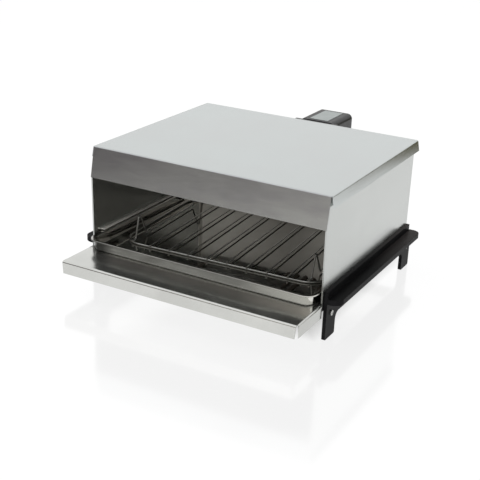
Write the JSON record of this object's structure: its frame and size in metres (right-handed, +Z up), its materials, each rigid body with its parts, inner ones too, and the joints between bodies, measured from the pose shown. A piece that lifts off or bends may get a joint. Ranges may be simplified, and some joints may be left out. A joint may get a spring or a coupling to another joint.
{
  "type": "electric party grill",
  "caption": "Open-fronted table grill of folded aluminium sheet on black leg frames, with a pull-out crumb tray, a roasting pan on rails, a wire rack and a rear terminal housing.",
  "frame": {"origin": "under the middle of the whole object, at the height of the feet", "axes": "+Z up, the open front faces -Y, the right side panel is on +X"},
  "size_m": [0.4122, 0.475, 0.2015],
  "materials": {
    "sheet_aluminium": "satin, lightly brushed",
    "tray_aluminium": "polished on top, satin edges",
    "pan_aluminium": "polished",
    "rack_wire": "bright plated wire",
    "black_plastic": "moulded, satin",
    "housing_plastic": "moulded, satin",
    "screw_steel": "zinc plated",
    "element_sheath": "heat-darkened",
    "ceramic_white": "glazed",
    "brass": "bare",
    "plate_aluminium": "matt, bare",
    "cutout_plastic": "moulded",
    "lead_sleeve": "glass-fibre sleeve",
    "gland_rubber": "matt"
  },
  "bodies": {
    "grill": {"lid": "sheet_aluminium", "left_side_panel": "sheet_aluminium", "right_side_panel": "sheet_aluminium", "back_panel": "sheet_aluminium", "left_pan_rail": "sheet_aluminium", "right_pan_rail": "sheet_aluminium", "left_side_frame": "black_plastic", "right_side_frame": "black_plastic", "frame_screws": "screw_steel", "frame_nuts": "screw_steel", "outer_element": "element_sheath", "inner_element": "element_sheath", "heater_hangers": "sheet_aluminium", "heater_bushings": "ceramic_white", "heater_terminals": "brass", "terminal_links": "brass", "housing_base": "housing_plastic", "housing_cover": "housing_plastic", "rating_plate": "plate_aluminium", "base_screws": "screw_steel", "base_nuts": "screw_steel", "cover_screws": "screw_steel", "terminal_block": "ceramic_white", "block_screws": "brass", "thermal_cutout": "cutout_plastic", "internal_leads": "lead_sleeve", "earth_screw": "screw_steel", "cord_gland": "gland_rubber", "cord_clamp": "housing_plastic", "clamp_screws": "screw_steel"},
    "tray": {"crumb_tray": "tray_aluminium"},
    "pan": {"roasting_pan": "pan_aluminium"},
    "rack": {"wire_rack": "rack_wire"}
  },
  "joints": [
    {"name": "tray_slide", "type": "slide", "parent": "grill", "child": "tray", "axis": [0, -1, 0], "range_m": [-0.0015, 0.22]},
    {"name": "pan_slide", "type": "slide", "parent": "grill", "child": "pan", "axis": [0, -1, 0], "range_m": [-0.013, 0.2]},
    {"name": "rack_lift", "type": "slide", "parent": "pan", "child": "rack", "axis": [0, 0, 1], "range_m": [0, 0.05]}
  ]
}
